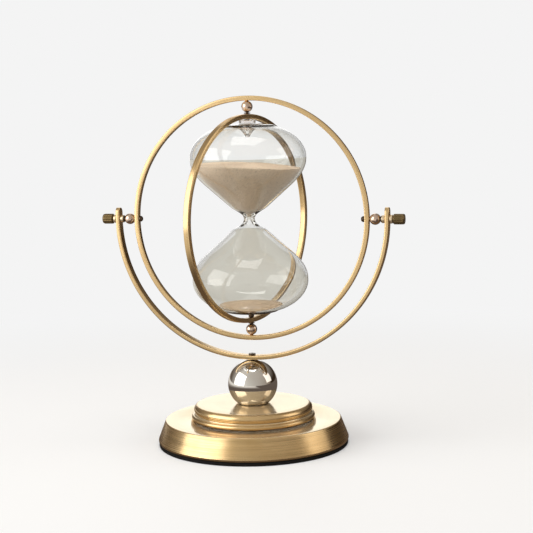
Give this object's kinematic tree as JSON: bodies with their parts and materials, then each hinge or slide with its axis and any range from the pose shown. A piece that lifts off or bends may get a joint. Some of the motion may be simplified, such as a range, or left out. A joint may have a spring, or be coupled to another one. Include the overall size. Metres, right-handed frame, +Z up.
{
  "type": "hourglass",
  "caption": "Tabletop hourglass: a sand glass in a swivelling inner ring, inside an outer ring that turns over in a forked stand on a round stepped base.",
  "frame": {"origin": "centre of the base pad's underside, on the surface that the hourglass stands on", "axes": "+Z up; X along the outer ring's pivot axis, from the left knob to the right knob; -Y is the front"},
  "size_m": [0.268, 0.1704, 0.2982],
  "materials": {
    "brushed_brass": "antique brass plate, brushed",
    "bright_brass": "polished",
    "champagne_plate": "polished, warm champagne tint",
    "polished_chrome": "mirror polished",
    "dark_steel": "blackened",
    "plain_steel": "zinc plated",
    "cast_iron": "as cast, painted",
    "black_foam": "matt foam sheet",
    "clear_rubber": "translucent",
    "clear_glass": "clear, blown",
    "sand": "fine dry grains"
  },
  "bodies": {
    "stand": {"base_pad": "black_foam", "base_shell": "brushed_brass", "ballast_plate": "cast_iron", "step_disc": "brushed_brass", "pedestal_ball": "polished_chrome", "fork": "brushed_brass", "tie_bolt": "dark_steel", "tie_bolt_washer": "plain_steel", "tie_bolt_nut": "plain_steel", "left_bush": "bright_brass", "right_bush": "bright_brass", "left_bush_collar": "bright_brass", "right_bush_collar": "bright_brass"},
    "outer_ring": {"outer_ring": "brushed_brass", "left_pivot_shaft": "plain_steel", "right_pivot_shaft": "plain_steel", "left_knob": "brushed_brass", "right_knob": "brushed_brass", "left_thrust_washer": "dark_steel", "right_thrust_washer": "dark_steel", "left_pivot_ball": "champagne_plate", "right_pivot_ball": "champagne_plate", "left_dome_nut": "dark_steel", "right_dome_nut": "dark_steel", "top_swivel_ball": "champagne_plate", "bottom_swivel_ball": "champagne_plate"},
    "inner_ring": {"inner_ring": "brushed_brass", "top_swivel_screw": "dark_steel", "bottom_swivel_screw": "dark_steel", "top_neck_nut": "dark_steel", "bottom_neck_nut": "dark_steel", "top_pad": "clear_rubber", "bottom_pad": "clear_rubber", "glass_vessel": "clear_glass", "glass_seal": "clear_glass", "upper_sand": "sand", "lower_sand": "sand"}
  },
  "joints": [
    {"name": "outer_ring_turn", "type": "hinge", "parent": "stand", "child": "outer_ring", "pos_m": [0, 0, 0.194], "axis": [1, 0, 0], "continuous": true},
    {"name": "inner_ring_swivel", "type": "hinge", "parent": "outer_ring", "child": "inner_ring", "pos_m": [0, 0, 0.194], "axis": [0, 0, 1], "continuous": true}
  ]
}
